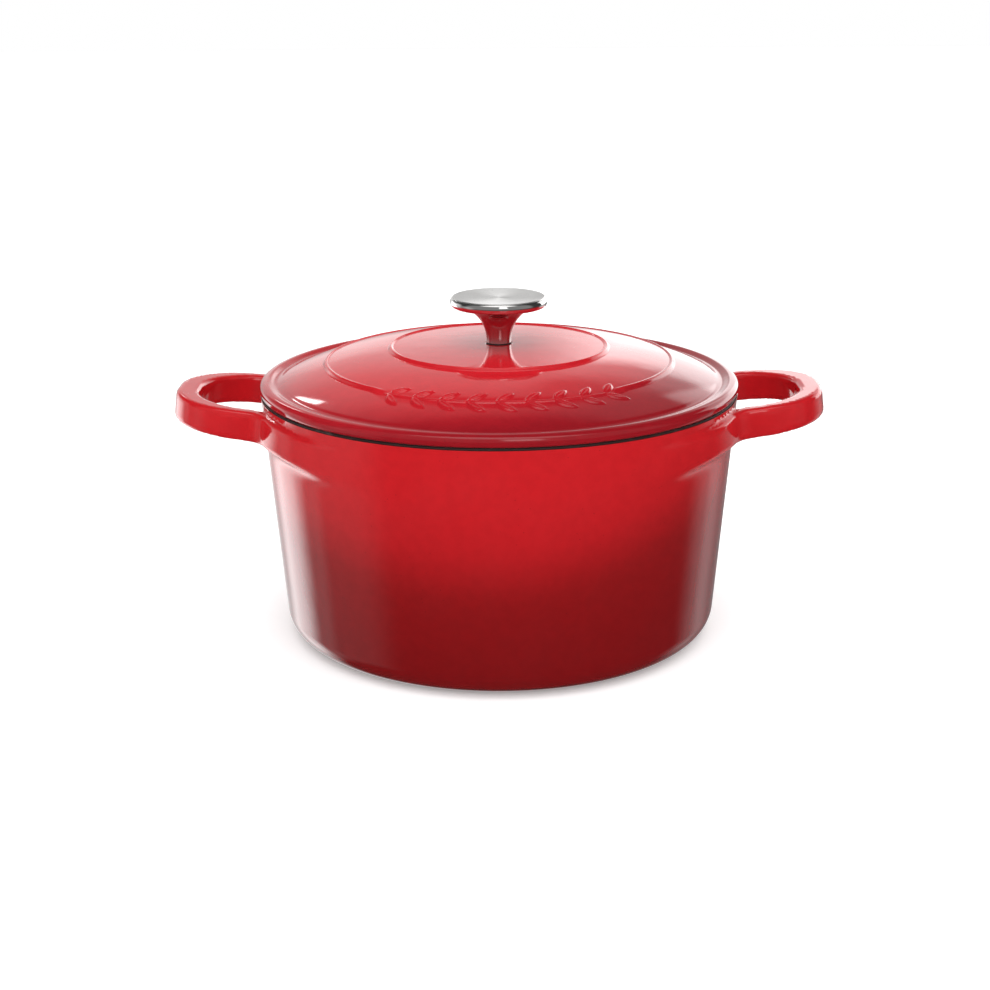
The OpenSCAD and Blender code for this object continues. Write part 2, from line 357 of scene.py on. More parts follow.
def body_field(pts):
    """Distance to the outside of the pot's body, whose wall runs on above the rim."""
    r = np.hypot(pts[:, 0], pts[:, 1])
    z = pts[:, 2]
    centre_z = FOOT_H + CORNER_R
    centre_r = wall_r(centre_z) - CORNER_R / math.cos(DRAFT)
    dr = r - centre_r
    dz = z - centre_z
    along = dr * math.sin(DRAFT) + dz * math.cos(DRAFT)
    wall = dr * math.cos(DRAFT) - dz * math.sin(DRAFT)
    corner = np.hypot(dr, dz)
    near = np.where(along > 0, wall, np.where(dr < 0, -dz, corner))
    return near - CORNER_R


def handle_field(pts):
    """Distance to the two handle bars: a rounded section that follows a plan of tangent arcs."""
    x = np.abs(pts[:, 0]) - TILT_X
    z = pts[:, 2] - HANDLE_Z
    across = np.abs(pts[:, 1])
    out = TILT_X + x * math.cos(HANDLE_RISE) + z * math.sin(HANDLE_RISE)
    rise = -x * math.sin(HANDLE_RISE) + z * math.cos(HANDLE_RISE)
    tip = out - (LOOP_X + LOOP_R)
    loop = np.hypot(out - LOOP_X, across - LOOP_Y) - LOOP_R
    spoke = np.array([-math.sin(ROOT_TURN), -math.cos(ROOT_TURN)])
    root_c = np.array([LOOP_X, HALF_GAP + ROOT_R])
    strap_c = root_c + (ROOT_R + STRAP_R) * spoke
    qx = out - root_c[0]
    qy = across - root_c[1]
    root = ROOT_R - np.hypot(qx, qy)
    strap = np.hypot(out - strap_c[0], across - strap_c[1]) - STRAP_R
    past_root = spoke[0] * qy - spoke[1] * qx < 0
    near_wall = np.where(past_root, strap, root)
    side = np.where(out < LOOP_X, near_wall, np.where(across < LOOP_Y, tip, loop))
    swell = smooth_step((out - LOOP_X - 4 * MM) / (LOOP_R * 0.8))
    half_t = ARM_HALF_T + (TIP_HALF_T - ARM_HALF_T) * swell
    half_h = HANDLE_HALF_H - TIP_LOWER * swell
    qa = np.abs(side) - (half_t - HANDLE_EDGE)
    qb = np.abs(rise) - (half_h - HANDLE_EDGE)
    corner = np.hypot(np.maximum(qa, 0), np.maximum(qb, 0))
    return corner + np.minimum(np.maximum(qa, qb), 0) - HANDLE_EDGE


def pot_field(pts):
    """Body and handles in one casting, with fillets that die out towards the rim."""
    body = body_field(pts)
    bars = handle_field(pts)
    below = smooth_step((BARE_Z - 0.5 * MM - pts[:, 2]) / FILLET_FADE)
    size = FILLET[0] + (FILLET[1] - FILLET[0]) * below
    mix = np.maximum(size - np.abs(body - bars), 0) / size
    return np.minimum(body, bars) - mix**3 * size / 6


def pot_enamel_mesh():
    """Closed shell of red enamel: the outer surface, the same surface set in, and two edges."""
    wide = LID_R + 3 * MM
    lowest = (-HANDLE_REACH, -wide, -3 * MM)
    highest = (HANDLE_REACH, wide, RIM_Z + 8 * MM)
    pts, quads, normals = surface_of(pot_field, lowest, highest, POT_VOXEL)
    mid = pts[quads].mean(1)
    mid_r = np.hypot(mid[:, 0], mid[:, 1])
    ring_r = FOOT_R + FOOT_W / 2
    over_rim = (mid_r < RIM_R + 0.8 * MM) & (mid[:, 2] > BARE_Z)
    on_base = (mid_r < ring_r + POT_VOXEL) & (mid[:, 2] < FOOT_H + 1 * MM)
    quads = quads[~(over_rim | on_base)]
    pts, quads, normals = compact(pts, quads, normals)
    edges = boundary_edges(quads)
    rim = np.array(sorted({i for e in edges for i in e}))
    top = rim[pts[rim, 2] > RIM_Z / 2]
    foot = rim[pts[rim, 2] <= RIM_Z / 2]
    for ids, radius, z in ((top, wall_r(BARE_Z), BARE_Z), (foot, ring_r, FOOT_H)):
        r = np.hypot(pts[ids, 0], pts[ids, 1])
        pts[ids, 0] *= radius / r
        pts[ids, 1] *= radius / r
        pts[ids, 2] = z
    spread = pts[top] / np.hypot(pts[top, 0], pts[top, 1])[:, None]
    normals[top] = spread * (math.cos(DRAFT), math.cos(DRAFT), 0)
    normals[top, 2] = -math.sin(DRAFT)
    inner = pts - normals * COAT
    count = len(pts)
    inner[top, 2] = BARE_Z
    faces = quads.tolist() + (quads[:, ::-1] + count).tolist()
    faces += [[b, a, a + count, b + count] for a, b in edges]
    all_normals = np.vstack([normals, -normals])
    disc_r = FOOT_R - FOOT_W / 2
    disc_top = FOOT_H + COAT
    disc, disc_n = outline(
        [(0, FOOT_H), (disc_r, FOOT_H, 0.15 * MM), (disc_r, disc_top, 0.1 * MM), (0, disc_top)]
    )
    centre = lathe(disc, disc_n, 120)
    return joined((np.vstack([pts, inner]), faces, all_normals), centre)


def pot_iron_mesh():
    """Iron of the pot: base, foot ring, wall and bare rim, with the cores of the handles."""
    inner_top = wall_r(RIM_Z) - (COAT + WALL_T) / math.cos(DRAFT)
    inner_low = inner_top - (RIM_Z - FLOOR_Z) * math.tan(DRAFT)
    base_r = wall_r(FOOT_H) - COAT
    foot_out = FOOT_R + FOOT_W / 2
    foot_in = FOOT_R - FOOT_W / 2
    base_z = FOOT_H + COAT
    corners = [
        (0, base_z),
        (foot_in, base_z, 0.3 * MM),
        (foot_in, 0, 0.5 * MM),
        (foot_out, 0, 0.5 * MM),
        (foot_out, base_z, 0.3 * MM),
        (base_r, base_z, CORNER_R - COAT),
        (wall_r(BARE_Z) - COAT, BARE_Z + 0.1 * MM),
        (wall_r(RIM_Z) - COAT + 0.1 * MM, RIM_Z, 0.9 * MM),
        (inner_top, RIM_Z, 0.9 * MM),
        (inner_low, FLOOR_Z, INNER_CORNER_R),
        (0, FLOOR_Z),
    ]
    pts, nrm = outline(corners)
    shell = lathe(pts, nrm, 240)

    def core_field(points):
        bars = handle_field(points) + COAT + 0.15 * MM
        inside = wall_r(points[:, 2]) - 2.5 * MM - np.hypot(points[:, 0], points[:, 1])
        return np.maximum(bars, inside)

    cores = []
    for side in (-1, 1):
        x = sorted((side * 90 * MM, side * HANDLE_REACH))
        lowest = (x[0], -LID_R, RIM_Z - 30 * MM)
        highest = (x[1], LID_R, RIM_Z + 8 * MM)
        cores.append(surface_of(core_field, lowest, highest, CORE_VOXEL))
    return joined(shell, *cores)


def pot_lining_mesh():
    """Light enamel inside the pot, a closed shell one coat thick that stops below the rim."""

    def cup(inset):
        top = wall_r(BARE_Z) - (COAT + WALL_T + inset) / math.cos(DRAFT)
        bottom = top - (BARE_Z - FLOOR_Z - inset) * math.tan(DRAFT)
        return top, bottom

    top_in, bottom_in = cup(COAT)
    top_out, bottom_out = cup(0)
    corners = [
        (0, FLOOR_Z),
        (bottom_out, FLOOR_Z, INNER_CORNER_R),
        (top_out, BARE_Z, 0.1 * MM),
        (top_in, BARE_Z, 0.15 * MM),
        (bottom_in, FLOOR_Z + COAT, INNER_CORNER_R - COAT),
        (0, FLOOR_Z + COAT),
    ]
    pts, nrm = outline(corners, degrees=6)
    return lathe(pts, nrm, 240)


# ---- lid ----


def hermite(a, b, slope_a, slope_b, r):
    """Height at r on a smooth curve from point a to point b with given end slopes."""
    span = b[0] - a[0]
    t = np.clip((r - a[0]) / span, 0, 1)
    h00 = 2 * t**3 - 3 * t**2 + 1
    h10 = t**3 - 2 * t**2 + t
    h01 = -2 * t**3 + 3 * t**2
    h11 = t**3 - t**2
    return h00 * a[1] + h10 * span * slope_a + h01 * b[1] + h11 * span * slope_b


COVE = (LID_R - FLANGE_W - 0.5 * MM, FLANGE_H - 0.9 * MM)


def dome_base(r):
    """Height of the dome above the rim with its two ring steps taken out."""
    outer = (OUTER_STEP_R, LID_H - OUTER_STEP_DROP)
    inner = (INNER_STEP_R, LID_H - INNER_STEP_DROP)
    middle = (0.0, LID_H - 2 * STEP_H)
    slope = hermite(outer, COVE, SLOPE_AT_OUTER, SLOPE_AT_COVE, r)
    shoulder = hermite(inner, outer, SLOPE_AT_INNER, SLOPE_AT_OUTER, r)
    crown = hermite(middle, inner, 0.0, CROWN_EDGE_SLOPE, r)
    return np.where(r < inner[0], crown, np.where(r < outer[0], shoulder, slope))


def step_up(r, at, width, bead=0.0):
    """A soft step whose higher side faces the axis, with a raised bead along its edge."""
    crest = bead * smooth_step((r - at) / BEAD_RISE + BEAD_BACK)
    return (STEP_H + crest) * smooth_step((at - r) / width + STEP_LEAD)


def sprig_height(r, turn):
    """Height of the raised sprig of leaves. turn is the angle from the front, -Y, in radians."""
    along = SPRIG_R * turn
    out = r - SPRIG_R
    stem_end = smooth_step((SPRIG_HALF_ANGLE + STEM_PAST - np.abs(turn)) / STEM_FADE)
    height = STEM_SHARE * RELIEF_H * stem_end * smooth_step(1.4 - np.abs(out) / STEM_HALF_W)
    for i in range(SPRIG_PAIRS):
        at = SPRIG_HALF_ANGLE * (2 * i / (SPRIG_PAIRS - 1) - 1)
        for side in (-1, 1):
            lean = LEAF_SPREAD * side
            cx = SPRIG_R * at + LEAF_OUT * LEAF_L * math.cos(lean)
            cy = side * LEAF_OUT * LEAF_L
            dx = along - cx
            dy = out - cy
            u = (dx * math.cos(lean) + dy * math.sin(lean)) / (LEAF_L / 2)
            v = (-dx * math.sin(lean) + dy * math.cos(lean)) / (LEAF_W / 2)
            edge = np.clip(1 - u * u, 0, 1)
            inside = smooth_step((edge - np.abs(v)) / LEAF_EDGE)
            groove = smooth_step(1 - np.abs(v) / VEIN_HALF_W)
            vein = 1 - VEIN_DEPTH * groove * smooth_step(edge * 2)
            height = np.maximum(height, RELIEF_H * inside * vein)
    return height


def flange_profile():
    """Flange from its lower edge over the roll and through the cove to the foot of the dome."""
    foot = [
        (LID_R - 1.0 * MM, 0.5 * MM),
        (LID_R - 0.45 * MM, 1.3 * MM),
        (LID_R - 0.12 * MM, 2.3 * MM),
    ]
    turn = np.radians(np.linspace(0, 90, 19))
    crest_r = LID_R - ROLL_W
    roll = [
        (crest_r + ROLL_W * math.cos(a), ROLL_Z + (FLANGE_TOP - ROLL_Z) * math.sin(a)) for a in turn
    ]
    dip = np.linspace(crest_r, COVE_R, 11)[1:]
    fall = hermite((COVE_R, COVE_Z), (crest_r, FLANGE_TOP), 0, 0, dip)
    climb = np.linspace(COVE_R, SLOPE_END_R, 11)[1:]
    end_z = float(dome_base(np.array(SLOPE_END_R)))
    rise = hermite((SLOPE_END_R, end_z), (COVE_R, COVE_Z), COVE_END_SLOPE, 0, climb)
    return foot + roll + list(zip(dip, fall)) + list(zip(climb, rise))


def lid_turns():
    """Angles of the lid's columns: fine round the sprig in front, slowly coarser to the back."""
    half = [0.0]
    step = 0.35
    while half[-1] < 180:
        half.append(half[-1] + step)
        if half[-1] > 40:
            step = min(step * 1.08, 1.5)
    half = np.array(half) * 180 / half[-1]
    return np.radians(np.concatenate([half, 360 - half[-2:0:-1]]))


def dome_rows():
    """Radii of the dome's rows, close together round both steps and across the sprig."""
    band_low = OUTER_STEP_R - 9.5 * MM
    near = 3.2 * MM
    pitch = 0.66 * MM
    rows = list(np.arange(SLOPE_END_R - 0.6 * MM, OUTER_STEP_R + near, -pitch))
    rows += list(np.linspace(OUTER_STEP_R + near, OUTER_STEP_R - near, 19))
    rows += list(np.arange(OUTER_STEP_R - near - 0.6 * MM, band_low, -pitch))
    rows += list(np.linspace(band_low, INNER_STEP_R + near + 1.5 * MM, 14))
    rows += list(np.linspace(INNER_STEP_R + near, INNER_STEP_R - near, 19))
    rows += list(np.linspace(INNER_STEP_R - near - 1 * MM, SEAT_R, 18))
    return rows + [BORE_R]


def dome_height(r, turn):
    """Height of the dome above the rim with its steps, beads and sprig, flat where the knob is."""
    fade = smooth_step((np.abs(turn) - SPRIG_HALF_ANGLE) / SPRIG_FADE)
    width = STEP_W + (STEP_W_AT_SPRIG - STEP_W) * (1 - fade)
    flat = np.maximum(r, SEAT_R)
    z = (
        dome_base(flat)
        + step_up(flat, OUTER_STEP_R, width, BEAD_H * fade)
        + step_up(flat, INNER_STEP_R, STEP_W, BEAD_H)
        + sprig_height(r, turn)
    )
    z = np.minimum(z, LID_H)
    z[-1] = LID_H
    return z


def turned(r, z, turns):
    """Points of rows with radii r and heights z above the rim, at the given turns."""
    return np.stack([r * np.sin(turns), -r * np.cos(turns), z + RIM_Z], -1)


def lid_enamel_mesh():
    """Closed shell of red enamel on the lid: flange roll, dome, ring steps and sprig."""
    turns = lid_turns()
    edge = flange_profile()
    n_edge = len(edge)
    rows_r = np.array([p[0] for p in edge] + dome_rows())
    ring, angle = np.meshgrid(rows_r, turns, indexing="ij")
    signed = (angle + math.pi) % (2 * math.pi) - math.pi
    z = np.empty_like(ring)
    z[:n_edge] = np.array([p[1] for p in edge])[:, None]
    z[n_edge:] = dome_height(ring[n_edge:], signed[n_edge:])
    top = turned(ring, z, angle)

    # The inner face lies one coat below the lowest point of each row it keeps.
    plain = z.min(axis=1)
    along = np.gradient(np.stack([rows_r, plain], 1), axis=0)
    along /= np.linalg.norm(along, axis=1)[:, None]
    keep = list(range(0, n_edge, 2)) + list(range(n_edge + 2, len(rows_r) - 1, 4))
    keep.append(len(rows_r) - 1)
    under_r = (rows_r - COAT * along[:, 1])[keep]
    under_z = (plain + COAT * along[:, 0])[keep]
    under_r[-1] = rows_r[-1]
    under_z[0] = plain[0]
    under = turned(*np.broadcast_arrays(under_r[:, None], under_z[:, None], turns[None]))

    cols = len(turns)
    base = len(rows_r) * cols
    verts = np.concatenate([top.reshape(-1, 3), under.reshape(-1, 3)])
    faces = []

    def band(a, b):
        for k in range(cols):
            n = (k + 1) % cols
            faces.append([a + k, a + n, b + n, b + k])

    for i in range(len(rows_r) - 1):
        band(i * cols, (i + 1) * cols)
    for i in range(len(keep) - 1):
        band(base + (i + 1) * cols, base + i * cols)
    band(base, 0)
    band(base - cols, base + (len(keep) - 1) * cols)
    return verts, faces


def under_dome(r):
    """Height above the rim of the iron underside of the dome."""
    return dome_base(r) - UNDER_T + 1.0 * MM * smooth_step((80 * MM - r) / (60 * MM))


def lid_under_corners(drop):
    """Corners of the underside from the boss to the foot of the skirt, all set in by drop."""
    skirt_in = SKIRT_R - SKIRT_T
    radii = np.linspace(BOSS_R + BOSS_FLARE + 3 * MM, skirt_in - 6 * MM, 26)
    curve = [(float(r), float(under_dome(r)) - drop, 0) for r in radii]
    top_z = FLANGE_H - UNDER_T
    boss = [
        (BOSS_R, BOSS_Z - drop, 1.5 * MM),
        (BOSS_R + BOSS_FLARE, curve[0][1] + 0.2 * MM, BOSS_FLARE),
    ]
    return boss + curve + [(skirt_in - drop, top_z - drop, COVE_FILLET - drop)]


def closed_lathe(corners, z0, columns=240):
    """Turns a closed ring of corners about the axis."""
    pts, nrm = outline([corners[-1]] + corners + [corners[0]])
    return lathe(pts[1:-1], nrm[1:-1], columns, closed=True, z0=z0)


def lid_iron_mesh():
    """Iron of the lid: closed solid with the flange, skirt, dome and the boss for the screw."""
    skirt_in = SKIRT_R - SKIRT_T
    top_r = np.linspace(SLOPE_END_R - 3 * MM, SEAT_R, 40)
    steps = step_up(top_r, OUTER_STEP_R, STEP_W) + step_up(top_r, INNER_STEP_R, STEP_W)
    top_z = dome_base(top_r) + steps - COAT * 1.03
    slope_end_z = float(dome_base(np.array(SLOPE_END_R)))
    corners = (
        [(BORE_R, BOSS_Z, 0.4 * MM)]
        + lid_under_corners(0)
        + [
            (skirt_in, -SKIRT_DROP, 1.2 * MM),
            (SKIRT_R, -SKIRT_DROP, 1.2 * MM),
            (SKIRT_R, 0, 0.5 * MM),
            (LID_R - 1.3 * MM, 0, 0.35 * MM),
            (LID_R - 0.9 * MM, 3.2 * MM, 1 * MM),
            (LID_R - 2.6 * MM, FLANGE_TOP - 1.3 * MM, 1.5 * MM),
            (LID_R - ROLL_W, FLANGE_TOP - 1.2 * COAT, 1 * MM),
            (COVE_R, COVE_Z - 1.3 * COAT, 2 * MM),
            (SLOPE_END_R, slope_end_z - 1.2 * COAT, 2 * MM),
        ]
        + [(float(r), float(z), 0) for r, z in zip(top_r, top_z)]
        + [(BORE_R, LID_H - COAT, 0.2 * MM)]
    )
    return closed_lathe(corners, RIM_Z)


def lid_lining_mesh():
    """Light enamel under the lid, a closed shell one coat thick."""
    seat = 10 * MM
    foot = -SKIRT_DROP + 1.3 * MM
    outer = lid_under_corners(0)
    inner = lid_under_corners(COAT)
    back = [(seat, BOSS_Z, 0.1 * MM)] + outer + [(outer[-1][0], foot, 0.15 * MM)]
    face = [(seat, inner[0][1], 0.15 * MM)] + inner + [(inner[-1][0], foot, 0.15 * MM)]
    return closed_lathe(list(reversed(back)) + face, RIM_Z)


# ---- knob ----


def knob_stem_mesh():
    """Trumpet shell of the knob: neck, flare, rolled rim and a crisp lip round the cap."""
    height = KNOB_TOP - SEAT_Z
    lip_z = height - LIP_DROP
    lip_top = height - 0.4 * MM
    wide = KNOB_R - LIP_R - 0.6 * MM - NECK_R
    tall = height - 7.7 * MM
    base = GASKET_T + 0.9 * MM
    turn = np.radians(np.linspace(180, 90, 31))

    def flare(inset):
        return [
            (
                NECK_R + wide + (wide + inset) * math.cos(a),
                base + (tall + inset * 0.9) * math.sin(a),
                0,
            )
            for a in turn
        ]

    roll = arc((KNOB_R - LIP_R, lip_z), LIP_R, -75, 54, 22)
    corners = (
        [(NECK_R - KNOB_SHELL, GASKET_T, 0.15 * MM), (NECK_R, GASKET_T, 0.25 * MM)]
        + flare(0)
        + [(r, z, 0) for r, z in roll]
        + [
            (CAP_R + 0.04 * MM, lip_top - 0.25 * MM, 0.1 * MM),
            (CAP_R + 0.04 * MM, lip_z, 2.2 * MM),
        ]
        + list(reversed(flare(KNOB_SHELL)))
    )
    return closed_lathe(corners, SEAT_Z, columns=144)


def knob_cap_mesh():
    """Slightly dished disc on top of the knob, with a fine rounded edge."""
    low_z = low("knob_cap", 2)
    rim = CAP_R - CAP_RIM
    dish = [
        (float(r), KNOB_TOP - CAP_DISH * (1 - (r / rim) ** 2), 0) for r in np.linspace(rim, 0, 24)
    ]
    corners = [(0, low_z), (CAP_R, low_z, 0.2 * MM), (CAP_R, KNOB_TOP, 0.45 * MM)] + dish
    pts, nrm = outline(corners)
    return lathe(pts, nrm, 144)


# ---- materials ----


class Nodes:
    """A material's node tree, with short ways to add and link nodes."""

    def __init__(self, name):
        self.material = bpy.data.materials.new(name)
        self.material.use_nodes = True
        self.tree = self.material.node_tree
        self.shader = self.tree.nodes["Principled BSDF"]
        self.place = self.add("ShaderNodeTexCoord").outputs["Object"]

    def add(self, kind, **values):
        """A node of that kind, with its properties set."""
        node = self.tree.nodes.new(kind)
        for key, value in values.items():
            setattr(node, key, value)
        return node

    def link(self, source, target):
        self.tree.links.new(source, target)

    def noise(self, scale, detail, roughness=0.55, place=None):
        node = self.add("ShaderNodeTexNoise")
        node.inputs["Scale"].default_value = scale
        node.inputs["Detail"].default_value = detail
        node.inputs["Roughness"].default_value = roughness
        self.link(place or self.place, node.inputs["Vector"])
        return node.outputs["Fac"]

    def spots(self, scale, size):
        """Round specks: 1 in their middle, 0 away from them."""
        node = self.add("ShaderNodeTexVoronoi")
        node.inputs["Scale"].default_value = scale
        self.link(self.place, node.inputs["Vector"])
        return self.remap(node.outputs["Distance"], size, size * 0.45, 0, 1)

    def remap(self, value, from_low, from_high, to_low, to_high):
        node = self.add("ShaderNodeMapRange")
        node.interpolation_type = "SMOOTHSTEP"
        node.inputs["From Min"].default_value = from_low
        node.inputs["From Max"].default_value = from_high
        node.inputs["To Min"].default_value = to_low
        node.inputs["To Max"].default_value = to_high
        self.link(value, node.inputs["Value"])
        return node.outputs["Result"]

    def math(self, operation, a, b=0.0):
        node = self.add("ShaderNodeMath", operation=operation)
        for socket, value in zip(node.inputs, (a, b)):
            if isinstance(value, (int, float)):
                socket.default_value = value
            else:
                self.link(value, socket)
        return node.outputs[0]

    def mix(self, factor, a, b, blend="MIX"):
        node = self.add("ShaderNodeMix", data_type="RGBA", blend_type=blend)
        sockets = (node.inputs["Factor"], node.inputs[6], node.inputs[7])
        for socket, value in zip(sockets, (factor, a, b)):
            if isinstance(value, (int, float)):
                socket.default_value = value
            elif isinstance(value, tuple):
                socket.default_value = (*value, 1.0)
            else:
                self.link(value, socket)
        return node.outputs[2]

    def ramp(self, value, stops):
        node = self.add("ShaderNodeValToRGB")
        node.color_ramp.interpolation = "B_SPLINE"
        elements = node.color_ramp.elements
        while len(elements) < len(stops):
            elements.new(0.5)
        for element, (at, colour) in zip(elements, stops):
            element.position = at
            element.color = (*colour, 1.0)
        self.link(value, node.inputs["Fac"])
        return node.outputs["Color"]

    def split(self):
        """The x, y and z of a place on the object."""
        node = self.add("ShaderNodeSeparateXYZ")
        self.link(self.place, node.inputs[0])
        return node.outputs

    def bump(self, height, distance, normal=None):
        """A normal bent by a height, on top of another normal where one is given."""
        node = self.add("ShaderNodeBump")
        node.inputs["Distance"].default_value = distance
        node.inputs["Strength"].default_value = 1.0
        self.link(height, node.inputs["Height"])
        if normal is not None:
            self.link(normal, node.inputs["Normal"])
        return node.outputs["Normal"]

    def set(self, **values):
        names = {
            "color": "Base Color",
            "rough": "Roughness",
            "metal": "Metallic",
            "normal": "Normal",
            "ior": "IOR",
            "specular": "Specular IOR Level",
            "aniso": "Anisotropic",
            "tangent": "Tangent",
        }
        for key, value in values.items():
            socket = self.shader.inputs[names[key]]
            if isinstance(value, tuple):
                socket.default_value = (*value, 1.0)
            elif isinstance(value, (int, float)):
                socket.default_value = value
            else:
                self.link(value, socket)
        return self.material


SIDE_SHADE_REACH = 105 * MM  # the painted side shade of the red stays level beyond this distance to the side


def red_enamel(name, stops, top, bottom, lean, side_shade_bow=0.0):
    """Glossy red vitreous enamel that shades from bright to deep red with height.

    The deep red reaches higher towards +X by lean, and to both sides by the last argument: painted
    shade, darker on the sides and most on the +X side, away from the light.
    """
    n = Nodes(name)
    x, _, z = n.split()
    # painted shade: the height that picks the red is lowered towards the sides and towards +X, so
    # these read darker
    aside = n.math("MINIMUM", n.math("MAXIMUM", x, -SIDE_SHADE_REACH), SIDE_SHADE_REACH)
    rise = n.math("MULTIPLY", n.math("MULTIPLY", aside, aside), side_shade_bow)
    lean_shade = n.math("MULTIPLY", aside, lean)
    level = n.math("SUBTRACT", n.math("SUBTRACT", z, rise), lean_shade)
    height = n.remap(level, bottom, top, 0, 1)
    cloud = n.noise(9, 2)
    wander = n.math("ADD", height, n.math("MULTIPLY", n.math("SUBTRACT", cloud, 0.5), 0.10))
    colour = n.ramp(wander, stops)
    mottle = n.remap(n.noise(160, 3, 0.6), 0.3, 0.7, 0.95, 1.03)
    colour = n.mix(1.0, colour, mottle_colour(n, mottle), "MULTIPLY")
    specks = n.math("MULTIPLY", n.spots(260, 0.11), n.remap(n.noise(38, 1), 0.5, 0.62, 0, 0.55))
    colour = n.mix(specks, colour, (0.05, 0.002, 0.003))
    ripple = n.bump(n.noise(70, 1.5, 0.4), 0.09 * MM)
    peel = n.bump(n.noise(420, 2, 0.5), 0.006 * MM, ripple)
    pits = n.bump(n.math("SUBTRACT", 1.0, specks), 0.03 * MM, peel)
    rough = n.remap(n.noise(30, 4, 0.6), 0.3, 0.75, 0.05, 0.10)
    return n.set(color=colour, rough=rough, normal=pits, ior=1.52)


def mottle_colour(n, value):
    """A grey of that value, for multiplying a colour by."""
    node = n.add("ShaderNodeCombineColor")
    for socket in node.inputs[:3]:
        n.link(value, socket)
    return node.outputs[0]


def cream_enamel():
    """Light enamel with a few fine specks and a cloudy warm tone."""
    n = Nodes("cream_enamel")
    cloud = n.remap(n.noise(14, 3), 0.3, 0.7, 0, 1)
    colour = n.mix(cloud, (0.80, 0.735, 0.60), (0.86, 0.80, 0.68))
    specks = n.math("MULTIPLY", n.spots(150, 0.08), n.remap(n.noise(22, 1), 0.5, 0.6, 0, 0.5))
    colour = n.mix(specks, colour, (0.30, 0.22, 0.13))
    normal = n.bump(n.noise(75, 2, 0.4), 0.12 * MM)
    rough = n.remap(n.noise(26, 4, 0.6), 0.3, 0.75, 0.07, 0.17)
    return n.set(color=colour, rough=rough, normal=normal, ior=1.52)


def bare_iron():
    """Dark matt ground coat on the rim and foot, with the grain of sand-cast iron."""
    n = Nodes("bare_iron")
    grain = n.noise(1400, 3, 0.6)
    worn = n.remap(n.noise(90, 4, 0.65), 0.52, 0.72, 0, 1)
    colour = n.mix(worn, (0.026, 0.012, 0.011), (0.060, 0.040, 0.036))
    rough = n.remap(grain, 0.3, 0.7, 0.5, 0.7)
    normal = n.bump(n.noise(120, 2), 0.05 * MM, n.bump(grain, 0.03 * MM))
    return n.set(color=colour, rough=rough, normal=normal, metal=0.0, specular=0.3)


def brushed_steel():
    """Satin steel disc with fine turned lines round its middle."""
    n = Nodes("brushed_steel")
    x, y, _ = n.split()
    radius = n.math("SQRT", n.math("ADD", n.math("POWER", x, 2.0), n.math("POWER", y, 2.0)))
    line = n.add("ShaderNodeCombineXYZ")
    n.link(n.math("MULTIPLY", radius, 60.0), line.inputs[0])
    n.link(n.math("MULTIPLY", n.math("ARCTAN2", y, x), 0.06), line.inputs[1])
    rings = n.noise(90, 6, 0.75, line.outputs[0])
    cloud = n.noise(60, 3)
    shade = n.remap(rings, 0.25, 0.75, 0.62, 0.80)
    colour = n.mix(1.0, mottle_colour(n, shade), (1.0, 0.985, 0.965), "MULTIPLY")
    rough = n.math("ADD", n.remap(rings, 0.3, 0.7, 0.24, 0.36), n.remap(cloud, 0.35, 0.7, 0, 0.05))
    normal = n.bump(rings, 0.012 * MM)
    tangent = n.add("ShaderNodeTangent", direction_type="RADIAL", axis="Z").outputs[0]
    return n.set(color=colour, rough=rough, normal=normal, metal=1.0, aniso=0.55, tangent=tangent)


def polished_steel():
    """Mirror steel of the stem, with faint turning marks and finger haze."""
    n = Nodes("polished_steel")
    haze = n.remap(n.noise(85, 4, 0.6), 0.45, 0.75, 0.05, 0.13)
    tint = n.mix(n.remap(n.noise(40, 2), 0.3, 0.7, 0, 1), (0.66, 0.65, 0.64), (0.72, 0.71, 0.70))
    z = n.split()[2]
    line = n.add("ShaderNodeCombineXYZ")
    n.link(n.math("MULTIPLY", z, 40.0), line.inputs[2])
    marks = n.noise(60, 5, 0.7, line.outputs[0])
    return n.set(color=tint, rough=haze, normal=n.bump(marks, 0.003 * MM), metal=1.0)


def plain_steel():
    """Zinc-grey steel of the screw, bush and washers."""
    n = Nodes("plain_steel")
    cloud = n.noise(240, 4, 0.6)
    colour = n.mix(n.remap(cloud, 0.3, 0.7, 0, 1), (0.40, 0.40, 0.40), (0.56, 0.555, 0.54))
    rough = n.remap(n.noise(520, 3), 0.3, 0.7, 0.26, 0.42)
    return n.set(color=colour, rough=rough, normal=n.bump(n.noise(900, 2), 0.01 * MM), metal=1.0)


def seal_rubber():
    """Black seal between the knob and the lid."""
    n = Nodes("seal_rubber")
    grain = n.noise(1800, 2)
    colour = n.mix(n.remap(grain, 0.3, 0.7, 0, 1), (0.012, 0.012, 0.012), (0.035, 0.033, 0.032))
    return n.set(color=colour, rough=0.62, normal=n.bump(grain, 0.02 * MM))


# ---- pieces ----


def place(name, mesh, body, slot, material, *nodes):
    """Makes a piece of a mesh, gives it its material and puts it in the place of CAD nodes."""
    verts, faces, *normals = mesh
    piece = make_mesh(name, verts, faces, normals[0] if normals else None)
    piece.data.materials.append(material)
    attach(piece, body)
    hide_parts(*nodes)
    return piece


